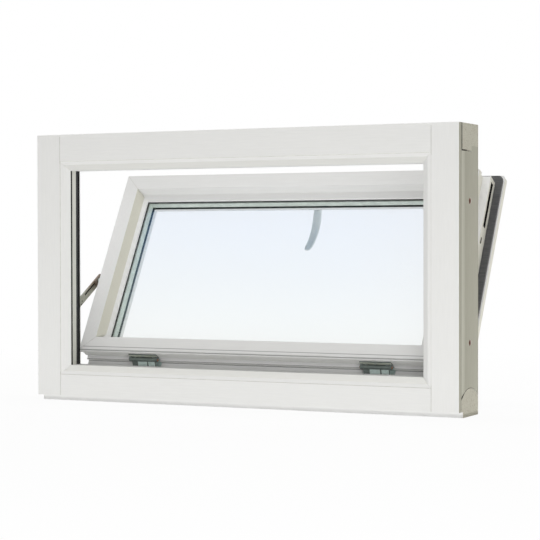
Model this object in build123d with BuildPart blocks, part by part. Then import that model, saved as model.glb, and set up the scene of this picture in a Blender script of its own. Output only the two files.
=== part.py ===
from build123d import *
import math
import os

os.makedirs("parts", exist_ok=True)

# Bottom-hung timber window, drawn open. Millimetres.
# X runs across the window from its middle, Z is up from the frame's underside.
# Depths are counted from the outdoor face, so Y = depth - FRAME_DEPTH / 2.

# Frame
FRAME_W = 980.0
FRAME_H = 580.0
FRAME_DEPTH = 110.0
FLAT = 58.0          # flat face, from the outer edge to the moulding
BAND = 66.0          # end of the moulding's narrow band
DAYLIGHT = 78.5      # outer edge to daylight edge
MOULD_DEPTH = 11.0   # how far the moulding falls back
BAND_DEPTH = 1.6
STOP_DEPTH = 47.0    # thickness of the stop that the sash shuts against
MID_EDGE = 55.0      # rebate beside the sash's outer ring
MID_DEPTH = 72.0
JAMB_REAR = 40.0     # timber left beside the sash's body
HEAD_REAR = 44.0
SILL_TOP = 58.0      # top of the sill inside the rebate
SKIN = 14.5          # front of the jambs that hides the tenons
GROOVE_DEEP = 2.0    # shallow groove in the jambs' outer sides
DRIP_H = 12.0        # rebate for the flashing, under the front face
DRIP_D = 22.0
TENON_ARCH = 57.0    # top of the sill tenon's rounded back
TENON_SHOULDER = 36.0
TENON_GAP = 0.9      # clearance round the tenons where their ends show
TENON_DEEP = 12.0    # how far in the sill tenon's clearance reaches
SCRIBE = FLAT + 4.0  # where the scribed joint turns into a mitre
JOINT_W = 0.9        # fine groove along a joint
JOINT_DEEP = 0.9
RING_LINE_W = 0.7    # the same on the sash's ring

# Fixing sleeves through the jambs
SLEEVE_R = 6.5
SLEEVE_BORE_R = 4.2
SLEEVE_DEPTH = 63.0
SLEEVE_LOW = 146.0
SLEEVE_HIGH = FRAME_H - 153.0
SLEEVE_INSET = 0.6

# Seals in the frame's reveal
SEAL_BACK = 3.0
FRONT_SEAL = (12.0, 17.5)
MAIN_SEAL = (32.5, 43.0)
SEAL_SUNK = 1.0      # how far the seals lie under the reveal

# Sash, in its own section: t is the depth from its outdoor face,
# s the height from the underside of its outdoor ring
OPEN_ANGLE = 28.8
RING_CLEAR = 5.0     # beside the sash's ring, when it is shut
HEAD_CLEAR = 3.5     # above it
RING_W = FRAME_W - 2 * (MID_EDGE + RING_CLEAR)
RING_T = 15.0
RING_FACE = 34.0
RING_BACK = 42.5
RING_SIDE_BACK = 48.5   # the side pieces' splay is wider than the top's
RING_LOW_FACE = 30.4
RING_LOW_BACK = 37.0
LIP_LOW = -4.5       # drip lip under the ring's lower piece
NECK_IN = 2.0
NECK_T = 30.0
BODY_CLEAR = 4.0     # between the sash's body and the jambs
OVERLAP = 15.0       # how far the sash's flange reaches over the jambs
BODY_W = FRAME_W - 2 * (JAMB_REAR + BODY_CLEAR)
BODY_LOW = -17.0
STEP_T = 36.0        # steps in the underside, over the hinges
STEP_LOW = -8.5
FOOT_T = 45.0
FLANGE_T = 64.0
SASH_T = 81.0
FLANGE_W = FRAME_W - 2 * (JAMB_REAR - OVERLAP)
FLANGE_LOW = -30.0
LIP = 59.5           # outdoor ring edge to glass daylight edge
LIP_T = 20.0
GLASS_REBATE = 12.0
LOW_LIP = 37.0
STILE_START = 26.0   # the stiles' wide part is cut away under this height

# Sealed glass unit
PANE = 4.0
CAVITY = 16.0
GASKET = 3.0
INNER_GASKET = 3.0
GLASS_EDGE = 9.0     # glass held behind the daylight edge
BEAD_T = 25.0
SPACER_W = 8.0

# Link hinges: the sash leaf turns on one pin, the frame leaf on another
HINGE_X = FRAME_W / 2 - 214.0
HINGE_L = 70.0
SASH_PIN = (26.0, -10.0)
FRAME_PIN = (97.0, SILL_TOP + 10.0)
LINK_LENGTH = 21.5
LINK_ANGLE = 104.3
PIN_R = 2.5
KNUCKLE_R = 4.5
LEAF_T = 2.5
POCKET_TOP = -4.0    # pocket in the sash that the link folds into
POCKET_T = 54.5
RUN = 0.05           # running clearance on a radius

# Shut, the link lies level, so the pins give the height of the sash
RING_H = FRAME_H - MID_EDGE - HEAD_CLEAR - (FRAME_PIN[1] - SASH_PIN[1])
FLANGE_TOP = RING_H + 21.5

# Stays
STAY_FRAME_PIN = (96.2, 211.0)
STAY_SASH_PIN = (17.0, 179.3)
STAY_W = 18.2
STAY_DROP = 3.5      # the arm's middle line lies this far under its pins
STAY_TAIL = 16.0     # arm beyond the sash's pin
STAY_T = 3.0
STAY_GAP = 0.3
STAY_PIN_R = 3.0
TRACK_START = 32.0   # track that the sash's pin slides in
TRACK_W = 3.4
TRACK_DEEP = 2.2
SLIDER_L = 26.0
SLIDER_T = 5.0
PLATE_T = 2.5

# Handle
HANDLE_X = 6.0
HANDLE_S = RING_H - 15.5
HANDLE_OUT = 49.0    # from the sash's indoor face to the lever's middle
ROSE_T = 10.0
ROSE_W = 30.0
ROSE_H = 58.0
LEVER_T = 12.0
LEVER_L = 110.0      # from the turning axis to the tip
LEVER_W = 17.5
HANDLE_NECK_R = 8.0

HW = FRAME_W / 2
FW = RING_W / 2


def y_at(depth):
    """Row Y of a depth from the outdoor face."""
    return depth - FRAME_DEPTH / 2


# The sash's pose follows from the link and the opening angle
A = math.radians(OPEN_ANGLE)
LINK = math.radians(LINK_ANGLE)
PIN_D = FRAME_PIN[0] + LINK_LENGTH * math.cos(LINK)
PIN_Z = FRAME_PIN[1] + LINK_LENGTH * math.sin(LINK)


def sash_point(t, s):
    """Depth and height of a point in the sash's section."""
    dt = t - SASH_PIN[0]
    ds = s - SASH_PIN[1]
    depth = PIN_D + dt * math.cos(A) + ds * math.sin(A)
    height = PIN_Z - dt * math.sin(A) + ds * math.cos(A)
    return depth, height


T_DIR = (0, math.cos(A), -math.sin(A))
S_DIR = (0, math.sin(A), math.cos(A))
OUT_DIR = (0, -math.cos(A), math.sin(A))


def sash_origin(x, t, s):
    depth, height = sash_point(t, s)
    return (x, y_at(depth), height)


def across(x=0.0):
    """Sketch plane over the sash's section: local x is t, local y is s."""
    return Plane(origin=sash_origin(x, 0, 0), x_dir=T_DIR, z_dir=(1, 0, 0))


def facing(t):
    """Sketch plane parallel to the sash's face: local x is X, local y is s."""
    return Plane(origin=sash_origin(0, t, 0), x_dir=(1, 0, 0), z_dir=OUT_DIR)


def plan(s):
    """Sketch plane square to the stiles: local x is X, local y is t."""
    return Plane(origin=sash_origin(0, 0, s), x_dir=(1, 0, 0), z_dir=S_DIR)


def front(depth):
    """Sketch plane parallel to the frame's face, extruded with a minus sign."""
    return Plane(origin=(0, y_at(depth), 0), x_dir=(1, 0, 0), z_dir=(0, -1, 0))


def side(x):
    """Sketch plane over the frame's section: local x is Y, local y is Z."""
    return Plane(origin=(x, 0, 0), x_dir=(0, 1, 0), z_dir=(1, 0, 0))


def polygon(points):
    """A closed face in the sketch that is being drawn."""
    return Polygon(*points, align=None)


def moulded_edge():
    """Front of a frame section, as distance from the outer edge and depth."""
    return [(FLAT, 0), (FLAT + 0.8, 0.9), (BAND, BAND_DEPTH), (DAYLIGHT, MOULD_DEPTH)]


# Frame: the jambs run full height, the head and sill pass through them as tenons
HEAD_STEP = [(SKIN, FRAME_H - MID_EDGE), (MID_DEPTH, FRAME_H - MID_EDGE),
             (MID_DEPTH, FRAME_H - HEAD_REAR), (FRAME_DEPTH + 1, FRAME_H - HEAD_REAR),
             (FRAME_DEPTH + 1, FRAME_H + 1), (SKIN, FRAME_H + 1)]

with BuildPart() as jamb_blank:
    outline = [(0, 0)] + moulded_edge()
    outline += [(DAYLIGHT, STOP_DEPTH), (MID_EDGE, STOP_DEPTH), (MID_EDGE, MID_DEPTH),
                (JAMB_REAR, MID_DEPTH), (JAMB_REAR, FRAME_DEPTH), (0, FRAME_DEPTH)]
    with BuildSketch(Plane.XY):
        polygon([(e - HW, y_at(d)) for e, d in outline])
    extrude(amount=FRAME_H)
    # Tenon of the head, taken out of the jamb
    with BuildSketch(side(-HW - 1)):
        polygon([(y_at(d), z) for d, z in HEAD_STEP])
    extrude(amount=DAYLIGHT + 2, mode=Mode.SUBTRACT)
    # Rounded tenon of the sill
    with BuildSketch(side(-HW - 1)):
        with BuildLine():
            ThreePointArc((y_at(SKIN), TENON_SHOULDER), (y_at(62), TENON_ARCH),
                          (y_at(FRAME_DEPTH + 1), TENON_SHOULDER - 1))
            Polyline((y_at(FRAME_DEPTH + 1), TENON_SHOULDER - 1), (y_at(FRAME_DEPTH + 1), -1),
                     (y_at(SKIN), -1), (y_at(SKIN), TENON_SHOULDER))
        make_face()
    extrude(amount=DAYLIGHT + 2, mode=Mode.SUBTRACT)
    # The moulding is scribed: square over the band, mitred over the slope
    with BuildSketch(front(-1)):
        polygon([(FLAT - HW, FRAME_H + 1), (FLAT - HW, FRAME_H - FLAT),
                 (SCRIBE - HW, FRAME_H - FLAT), (SCRIBE - HW, FRAME_H - SCRIBE),
                 (DAYLIGHT + 1 - HW, FRAME_H - DAYLIGHT - 1), (DAYLIGHT + 1 - HW, FRAME_H + 1)])
        polygon([(FLAT - HW, -1), (FLAT - HW, FLAT),
                 (SCRIBE - HW, FLAT), (SCRIBE - HW, SCRIBE),
                 (DAYLIGHT + 1 - HW, DAYLIGHT + 1), (DAYLIGHT + 1 - HW, -1)])
    extrude(amount=-(STOP_DEPTH + 2), mode=Mode.SUBTRACT)
    # Flashing rebate under the front face
    with BuildSketch(side(-HW - 1)):
        with Locations((y_at(0) + DRIP_D / 2 - 1, DRIP_H / 2 - 1)):
            Rectangle(DRIP_D + 2, DRIP_H + 2)
    extrude(amount=DAYLIGHT + 2, mode=Mode.SUBTRACT)

# Fine grooves along the joints of the front face, left half
with BuildPart() as joint_lines:
    for z in ((DRIP_H + FLAT) / 2 - 1, FRAME_H - (DRIP_H + FLAT) / 2 + 1):
        with BuildSketch(front(-1)):
            with Locations((FLAT - HW, z)):
                Rectangle(JOINT_W, FLAT - DRIP_H + 14)
        extrude(amount=-1 - JOINT_DEEP)
    for z in (FLAT, FRAME_H - FLAT):
        with BuildSketch(front(-1)):
            with Locations(((FLAT + SCRIBE) / 2 - HW, z)):
                Rectangle(SCRIBE - FLAT + JOINT_W, JOINT_W)
        extrude(amount=-1 - JOINT_DEEP)
    # Along the mitre the groove follows the moulding's slope
    slope = [(SCRIBE, -1), (SCRIBE, BAND_DEPTH + JOINT_DEEP / 2), (BAND, BAND_DEPTH + JOINT_DEEP),
             (DAYLIGHT + 1, MOULD_DEPTH + JOINT_DEEP), (DAYLIGHT + 1, -1)]
    for corner, rise in ((0, 1), (FRAME_H, -1)):
        mitre = Plane(origin=(-HW, y_at(0), corner), x_dir=(1, 0, rise), z_dir=(-rise, 0, 1))
        with BuildSketch(mitre):
            polygon([(e * math.sqrt(2), d) for e, d in slope])
        extrude(amount=JOINT_W / 2, both=True)

with BuildPart() as frame_jamb_left:
    add(jamb_blank.part)
    add(joint_lines.part, mode=Mode.SUBTRACT)
    # Shallow groove down the outer side
    with BuildSketch(Plane.XY):
        polygon([(-HW - 1, y_at(SKIN)), (GROOVE_DEEP - 0.6 - HW, y_at(SKIN)),
                 (GROOVE_DEEP - HW, y_at(17)), (-HW, y_at(33)), (-HW - 1, y_at(33))])
    extrude(amount=FRAME_H, mode=Mode.SUBTRACT)
    # Grooves that hold the two reveal seals
    for near, far in (FRONT_SEAL, MAIN_SEAL):
        with BuildSketch(front(near)):
            with Locations((DAYLIGHT - HW - SEAL_BACK / 2 + 0.5, FRAME_H / 2)):
                Rectangle(SEAL_BACK + 1, FRAME_H)
        extrude(amount=-(far - near), mode=Mode.SUBTRACT)
    # Holes for the fixing sleeves
    with BuildSketch(side(-HW - 1)):
        with Locations((y_at(SLEEVE_DEPTH), SLEEVE_LOW), (y_at(SLEEVE_DEPTH), SLEEVE_HIGH)):
            Circle(SLEEVE_R)
    extrude(amount=MID_EDGE + 3, mode=Mode.SUBTRACT)
    # Seat of the stay's plate, let into the jamb
    with BuildSketch(side(JAMB_REAR - HW - PLATE_T)):
        with Locations((y_at(STAY_FRAME_PIN[0] - 8), STAY_FRAME_PIN[1])):
            Rectangle(34, 24)
    extrude(amount=PLATE_T + 1, mode=Mode.SUBTRACT)
frame_jamb_left.part.label = "frame_jamb_left"

with BuildPart() as frame_jamb_right:
    mirror(frame_jamb_left.part, about=Plane.YZ)
frame_jamb_right.part.label = "frame_jamb_right"

# What the jambs and the joint grooves take from the head and the sill
with BuildPart() as end_cuts:
    add(jamb_blank.part)
    add(joint_lines.part)
    # Clearance in front of the head's tenon and under it
    slot_top = FRAME_H - 6
    with BuildSketch(side(-HW - 1)):
        with Locations((y_at(SKIN + TENON_GAP / 2), (slot_top + FRAME_H - MID_EDGE - 1) / 2)):
            Rectangle(TENON_GAP, slot_top - FRAME_H + MID_EDGE + 1)
        with Locations((y_at((SKIN + MID_DEPTH) / 2), FRAME_H - MID_EDGE + TENON_GAP / 2 - 1)):
            Rectangle(MID_DEPTH - SKIN, TENON_GAP + 2)
    extrude(amount=FLAT + 1)
    # Clearance over the sill's rounded tenon
    with BuildSketch(side(-HW - 1)):
        with BuildLine():
            ThreePointArc((y_at(SKIN), TENON_SHOULDER), (y_at(62), TENON_ARCH),
                          (y_at(FRAME_DEPTH + 1), TENON_SHOULDER - 1))
            Line((y_at(FRAME_DEPTH + 1), TENON_SHOULDER - 1),
                 (y_at(FRAME_DEPTH + 1), TENON_SHOULDER - 1 - TENON_GAP))
            ThreePointArc((y_at(FRAME_DEPTH + 1), TENON_SHOULDER - 1 - TENON_GAP),
                          (y_at(62), TENON_ARCH - TENON_GAP),
                          (y_at(SKIN), TENON_SHOULDER - TENON_GAP))
            Line((y_at(SKIN), TENON_SHOULDER - TENON_GAP), (y_at(SKIN), TENON_SHOULDER))
        make_face()
    extrude(amount=TENON_DEEP + 1)

with BuildPart() as end_cuts_right:
    mirror(end_cuts.part, about=Plane.YZ)

with BuildPart() as frame_head:
    outline = [(0, 0)] + moulded_edge()
    outline += [(DAYLIGHT, STOP_DEPTH), (MID_EDGE, STOP_DEPTH), (MID_EDGE, MID_DEPTH),
                (HEAD_REAR, MID_DEPTH), (HEAD_REAR, FRAME_DEPTH), (0, FRAME_DEPTH)]
    with BuildSketch(side(0)):
        polygon([(y_at(d), FRAME_H - e) for e, d in outline])
    extrude(amount=HW, both=True)
    for near, far in (FRONT_SEAL, MAIN_SEAL):
        with BuildSketch(front(near)):
            with Locations((0, FRAME_H - DAYLIGHT + SEAL_BACK / 2 - 0.5)):
                Rectangle(FRAME_W, SEAL_BACK + 1)
        extrude(amount=-(far - near), mode=Mode.SUBTRACT)
    add(end_cuts.part, mode=Mode.SUBTRACT)
    add(end_cuts_right.part, mode=Mode.SUBTRACT)
frame_head.part.label = "frame_head"

with BuildPart() as frame_sill:
    outline = [(DRIP_H, 0)] + moulded_edge()
    outline += [(DAYLIGHT, STOP_DEPTH), (SILL_TOP, STOP_DEPTH), (SILL_TOP, FRAME_DEPTH),
                (0, FRAME_DEPTH), (0, DRIP_D), (DRIP_H, DRIP_D)]
    with BuildSketch(side(0)):
        polygon([(y_at(d), e) for e, d in outline])
    extrude(amount=HW, both=True)
    for near, far in (FRONT_SEAL, MAIN_SEAL):
        with BuildSketch(front(near)):
            with Locations((0, DAYLIGHT - SEAL_BACK / 2 + 0.5)):
                Rectangle(FRAME_W, SEAL_BACK + 1)
        extrude(amount=-(far - near), mode=Mode.SUBTRACT)
    add(end_cuts.part, mode=Mode.SUBTRACT)
    add(end_cuts_right.part, mode=Mode.SUBTRACT)
frame_sill.part.label = "frame_sill"


def reveal_seal(near, far):
    """Rubber ring in the grooves of the frame's reveal."""
    with BuildPart() as ring:
        with BuildSketch(front(near)):
            with Locations((0, FRAME_H / 2)):
                Rectangle(FRAME_W - 2 * (DAYLIGHT - SEAL_BACK), FRAME_H - 2 * (DAYLIGHT - SEAL_BACK))
                Rectangle(FRAME_W - 2 * (DAYLIGHT - SEAL_SUNK), FRAME_H - 2 * (DAYLIGHT - SEAL_SUNK),
                          mode=Mode.SUBTRACT)
        extrude(amount=-(far - near))
    return ring


frame_seal_outer = reveal_seal(FRONT_SEAL[0], FRONT_SEAL[1])
frame_seal_outer.part.label = "frame_seal_outer"
frame_seal_inner = reveal_seal(MAIN_SEAL[0], MAIN_SEAL[1])
frame_seal_inner.part.label = "frame_seal_inner"

sleeves = {}
for side_name, sign in (("left", -1), ("right", 1)):
    for level_name, height in (("low", SLEEVE_LOW), ("high", SLEEVE_HIGH)):
        with BuildPart() as sleeve:
            with BuildSketch(side(sign * (HW - SLEEVE_INSET))):
                with Locations((y_at(SLEEVE_DEPTH), height)):
                    Circle(SLEEVE_R)
                    Circle(SLEEVE_BORE_R, mode=Mode.SUBTRACT)
            extrude(amount=-sign * (MID_EDGE - SLEEVE_INSET))
        name = "fixing_sleeve_" + side_name + "_" + level_name
        sleeve.part.label = name
        sleeves[name] = sleeve.part

# Sash members: the rails run full width, the stiles stand between them
NECK_W = RING_W - 2 * NECK_IN
EASE = 4.0
SASH_PLAN = [(NECK_W / 2, RING_T), (NECK_W / 2, NECK_T), (BODY_W / 2, NECK_T),
             (BODY_W / 2, FLANGE_T), (FLANGE_W / 2, FLANGE_T),
             (FLANGE_W / 2, SASH_T - EASE), (FLANGE_W / 2 - EASE, SASH_T)]
SASH_OUTLINE = SASH_PLAN + [(-x, t) for x, t in reversed(SASH_PLAN)]
REBATE = LIP - GLASS_REBATE
LOW_REBATE = LOW_LIP - GLASS_REBATE


# Clears the foot of each stile, so that the stays and the frame stay free
with BuildPart() as foot_cut:
    with BuildSketch(facing(NECK_T - 1)):
        for sign in (-1, 1):
            with Locations((sign * (NECK_W / 2 + 30), (STILE_START + FLANGE_LOW) / 2 - 1)):
                Rectangle(60, STILE_START - FLANGE_LOW + 2)
    extrude(amount=-(SASH_T - NECK_T + 2))

# Lock groove in the sides of the sash, and the short slot under it
LOCK_T = (37.0, 49.0)
LOCK_S = (RING_H - 116.5, RING_H - 9.5)
LOCK_DEEP = 8.0
LOCK_SLOT = (RING_H - 156.5, RING_H - 142.5)


with BuildPart() as lock_cut:
    with BuildSketch(facing(LOCK_T[0])):
        for sign in (-1, 1):
            with Locations((sign * (BODY_W / 2 - LOCK_DEEP / 2 + 1), (LOCK_S[0] + LOCK_S[1]) / 2)):
                Rectangle(LOCK_DEEP + 2, LOCK_S[1] - LOCK_S[0])
    extrude(amount=-(LOCK_T[1] - LOCK_T[0]))

with BuildPart() as sash_rail_top:
    s = RING_H
    with BuildSketch(across()):
        polygon([(RING_T, s - NECK_IN), (NECK_T, s - NECK_IN), (NECK_T, s), (FLANGE_T, s),
                 (FLANGE_T, FLANGE_TOP), (SASH_T - EASE, FLANGE_TOP), (SASH_T, FLANGE_TOP - EASE),
                 (SASH_T, s - REBATE), (LIP_T, s - REBATE), (LIP_T, s - LIP), (RING_T, s - LIP)])
    extrude(amount=FLANGE_W / 2, both=True)
    with BuildSketch(plan(s - 100)):
        polygon(SASH_OUTLINE)
    extrude(amount=200, mode=Mode.INTERSECT)
    corners = sash_rail_top.edges().filter_by(Axis((0, 0, 0), T_DIR))
    corners = corners.filter_by(lambda e: abs(abs(e.center().X) - FLANGE_W / 2) < 0.01)
    fillet(corners.sort_by(Axis.Z)[-2:], 9)
    add(lock_cut.part, mode=Mode.SUBTRACT)
sash_rail_top.part.label = "sash_rail_top"

with BuildPart() as sash_rail_bottom:
    with BuildSketch(across()):
        polygon([(RING_T, -NECK_IN), (NECK_T, -NECK_IN), (NECK_T, 1), (STEP_T, 1),
                 (STEP_T, STEP_LOW), (STEP_T + 4, STEP_LOW), (STEP_T + 4, STEP_LOW + 3.5),
                 (FOOT_T, STEP_LOW + 3.5), (FOOT_T, BODY_LOW), (FLANGE_T, BODY_LOW),
                 (FLANGE_T, FLANGE_LOW), (SASH_T - EASE, FLANGE_LOW), (SASH_T, FLANGE_LOW + EASE),
                 (SASH_T, LOW_REBATE), (LIP_T, LOW_REBATE), (LIP_T, LOW_LIP), (RING_T, LOW_LIP)])
    extrude(amount=FLANGE_W / 2, both=True)
    with BuildSketch(plan(-100)):
        polygon(SASH_OUTLINE)
    extrude(amount=200, mode=Mode.INTERSECT)
    add(foot_cut.part, mode=Mode.SUBTRACT)
    # Pockets that the hinge links fold into
    for x in (-HINGE_X, HINGE_X):
        with BuildSketch(across(x)):
            with Locations(((NECK_T + POCKET_T) / 2, (POCKET_TOP + BODY_LOW) / 2 - 1)):
                Rectangle(POCKET_T - NECK_T, POCKET_TOP - BODY_LOW + 2)
        extrude(amount=HINGE_L / 2 + 1, both=True, mode=Mode.SUBTRACT)
sash_rail_bottom.part.label = "sash_rail_bottom"

with BuildPart() as sash_stile_left:
    with BuildSketch(plan(LOW_REBATE)):
        polygon([(-x, t) for x, t in SASH_PLAN]
                + [(-FW + REBATE, SASH_T), (-FW + REBATE, LIP_T), (-FW + LIP, LIP_T), (-FW + LIP, RING_T)])
    extrude(amount=RING_H - REBATE - LOW_REBATE)
    add(foot_cut.part, mode=Mode.SUBTRACT)
    add(lock_cut.part, mode=Mode.SUBTRACT)
    with BuildSketch(facing(LOCK_T[0])):
        with Locations((-BODY_W / 2 + 1, (LOCK_SLOT[0] + LOCK_SLOT[1]) / 2)):
            Rectangle(6, LOCK_SLOT[1] - LOCK_SLOT[0])
    extrude(amount=-6, mode=Mode.SUBTRACT)
    add(sash_rail_top.part, mode=Mode.SUBTRACT)
    add(sash_rail_bottom.part, mode=Mode.SUBTRACT)
sash_stile_left.part.label = "sash_stile_left"

with BuildPart() as sash_stile_right:
    mirror(sash_stile_left.part, about=Plane.YZ)
sash_stile_right.part.label = "sash_stile_right"

# Outdoor ring: four mitred pieces with a splayed inner edge
LOW_X = FW - 2 * RING_FACE
LOW_Y = 2 * RING_LOW_FACE

# Fine grooves along its four mitres
with BuildPart() as ring_lines:
    for sign in (-1, 1):
        for start, end in (((sign * FW, RING_H), (sign * (FW - RING_FACE), RING_H - RING_FACE)),
                           ((sign * FW, 0), (sign * (FW - RING_FACE), RING_LOW_FACE))):
            with BuildSketch(facing(-1)):
                with BuildLine():
                    Line(start, end)
                trace(line_width=RING_LINE_W)
            extrude(amount=-1 - RING_LINE_W)

with BuildPart() as sash_ring_top:
    with BuildSketch(across()):
        polygon([(0, RING_H), (0, RING_H - RING_FACE), (RING_T, RING_H - RING_BACK), (RING_T, RING_H)])
    extrude(amount=FW, both=True)
    with BuildSketch(facing(-1)):
        polygon([(-FW, RING_H), (FW, RING_H), (FW - 60, RING_H - 60), (60 - FW, RING_H - 60)])
    extrude(amount=-(RING_T + 2), mode=Mode.INTERSECT)
    add(ring_lines.part, mode=Mode.SUBTRACT)
sash_ring_top.part.label = "sash_ring_top"

with BuildPart() as sash_ring_bottom:
    with BuildSketch(across()):
        polygon([(8, 0), (8, LIP_LOW), (3, LIP_LOW), (3, LIP_LOW / 2), (0, 1),
                 (0, RING_LOW_FACE), (RING_T, RING_LOW_BACK), (RING_T, 0)])
    extrude(amount=FW, both=True)
    with BuildSketch(facing(-1)):
        polygon([(-FW, LIP_LOW - 1), (FW, LIP_LOW - 1), (FW, 0),
                 (LOW_X, LOW_Y), (-LOW_X, LOW_Y), (-FW, 0)])
    extrude(amount=-(RING_T + 2), mode=Mode.INTERSECT)
    add(ring_lines.part, mode=Mode.SUBTRACT)
sash_ring_bottom.part.label = "sash_ring_bottom"

with BuildPart() as sash_ring_left:
    with BuildSketch(plan(0)):
        polygon([(-FW, 0), (RING_FACE - FW, 0), (RING_SIDE_BACK - FW, RING_T), (-FW, RING_T)])
    extrude(amount=RING_H)
    with BuildSketch(facing(-1)):
        polygon([(-FW, 0), (-FW, RING_H), (60 - FW, RING_H - 60), (-LOW_X, LOW_Y)])
    extrude(amount=-(RING_T + 2), mode=Mode.INTERSECT)
    add(ring_lines.part, mode=Mode.SUBTRACT)
sash_ring_left.part.label = "sash_ring_left"

with BuildPart() as sash_ring_right:
    mirror(sash_ring_left.part, about=Plane.YZ)
sash_ring_right.part.label = "sash_ring_right"

# Sealed unit, its gaskets and the glazing beads
GLASS_W = RING_W - 2 * LIP + 2 * GLASS_EDGE
GLASS_LOW = LOW_LIP - GLASS_EDGE
GLASS_HIGH = RING_H - LIP + GLASS_EDGE
GLASS_H = GLASS_HIGH - GLASS_LOW
GLASS_MID = (GLASS_HIGH + GLASS_LOW) / 2
T_OUT = LIP_T + GASKET
T_CAVITY = T_OUT + PANE
T_IN = T_CAVITY + CAVITY
T_BEAD = T_IN + PANE + INNER_GASKET


def glass_ring(t, thick, outer_trim, width):
    """Rectangular ring behind the daylight edge of the glass."""
    with BuildPart() as ring:
        with BuildSketch(facing(t)):
            with Locations((0, GLASS_MID)):
                Rectangle(GLASS_W - 2 * outer_trim, GLASS_H - 2 * outer_trim)
                Rectangle(GLASS_W - 2 * (outer_trim + width), GLASS_H - 2 * (outer_trim + width),
                          mode=Mode.SUBTRACT)
        extrude(amount=-thick)
    return ring


def glass_pane(t):
    with BuildPart() as pane:
        with BuildSketch(facing(t)):
            with Locations((0, GLASS_MID)):
                Rectangle(GLASS_W, GLASS_H)
        extrude(amount=-PANE)
    return pane


glass_outer = glass_pane(T_OUT)
glass_outer.part.label = "glass_outer"
glass_inner = glass_pane(T_IN)
glass_inner.part.label = "glass_inner"
glass_spacer = glass_ring(T_CAVITY, CAVITY, 2.0, SPACER_W)
glass_spacer.part.label = "glass_spacer"
gasket_outer = glass_ring(LIP_T, GASKET, 0.0, GLASS_EDGE + 1.2)
gasket_outer.part.label = "gasket_outer"
gasket_inner = glass_ring(T_IN + PANE, INNER_GASKET, 0.0, GLASS_EDGE + 2.0)
gasket_inner.part.label = "gasket_inner"

BX = FW - REBATE
B_LOW = LOW_REBATE
B_HIGH = RING_H - REBATE
BEAD = [(T_BEAD, 0), (T_BEAD, GLASS_REBATE), (T_BEAD + 3, GLASS_REBATE),
        (T_BEAD + BEAD_T, GLASS_REBATE - 7), (T_BEAD + BEAD_T, 0)]

with BuildPart() as bead_top:
    with BuildSketch(across()):
        polygon([(t, B_HIGH - w) for t, w in BEAD])
    extrude(amount=BX, both=True)
    with BuildSketch(facing(T_BEAD - 1)):
        polygon([(-BX, B_HIGH), (BX, B_HIGH), (BX - 30, B_HIGH - 30), (30 - BX, B_HIGH - 30)])
    extrude(amount=-(BEAD_T + 2), mode=Mode.INTERSECT)
bead_top.part.label = "bead_top"

with BuildPart() as bead_bottom:
    with BuildSketch(across()):
        polygon([(t, B_LOW + w) for t, w in BEAD])
    extrude(amount=BX, both=True)
    with BuildSketch(facing(T_BEAD - 1)):
        polygon([(-BX, B_LOW), (BX, B_LOW), (BX - 30, B_LOW + 30), (30 - BX, B_LOW + 30)])
    extrude(amount=-(BEAD_T + 2), mode=Mode.INTERSECT)
bead_bottom.part.label = "bead_bottom"

with BuildPart() as bead_left:
    with BuildSketch(plan(B_LOW)):
        polygon([(w - BX, t) for t, w in BEAD])
    extrude(amount=B_HIGH - B_LOW)
    with BuildSketch(facing(T_BEAD - 1)):
        polygon([(-BX, B_LOW), (-BX, B_HIGH), (30 - BX, B_HIGH - 30), (30 - BX, B_LOW + 30)])
    extrude(amount=-(BEAD_T + 2), mode=Mode.INTERSECT)
bead_left.part.label = "bead_left"

with BuildPart() as bead_right:
    mirror(bead_left.part, about=Plane.YZ)
bead_right.part.label = "bead_right"

# Foam seal in front of the overlap, bent round the upper corners
SEAL_W = 16.0
SEAL_T = 5.0
SEAL_TOP = RING_H + 18.5
with BuildPart() as sash_seal:
    with BuildSketch(facing(FLANGE_T - SEAL_T)) as seal_outline:
        polygon([(-BODY_W / 2 - SEAL_W, STILE_START + 1), (-BODY_W / 2 - SEAL_W, SEAL_TOP),
                 (BODY_W / 2 + SEAL_W, SEAL_TOP), (BODY_W / 2 + SEAL_W, STILE_START + 1),
                 (BODY_W / 2, STILE_START + 1), (BODY_W / 2, RING_H),
                 (-BODY_W / 2, RING_H), (-BODY_W / 2, STILE_START + 1)])
        outer = seal_outline.vertices().group_by(Axis.Y)[-1]
        fillet(outer, 12)
    extrude(amount=-SEAL_T)
sash_seal.part.label = "sash_seal"

# Link hinges. Widths along X, from the hinge's middle
END_KNUCKLE = (HINGE_L / 2 - 6, HINGE_L / 2)
MID_KNUCKLE = 10.0
SIDE_GAP = 0.3
LINK_HALF = END_KNUCKLE[0] - SIDE_GAP
LINK_T = 3.0
PIN_PROUD = 1.5
WINDOWS = ((-14.0, 3.5), (10.5, 25.0))


def link_plane(x):
    """Section plane of the link: local x runs from the frame pin to the sash pin."""
    return Plane(origin=(x, y_at(FRAME_PIN[0]), FRAME_PIN[1]),
                 x_dir=(0, math.cos(LINK), math.sin(LINK)), z_dir=(1, 0, 0))


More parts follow.
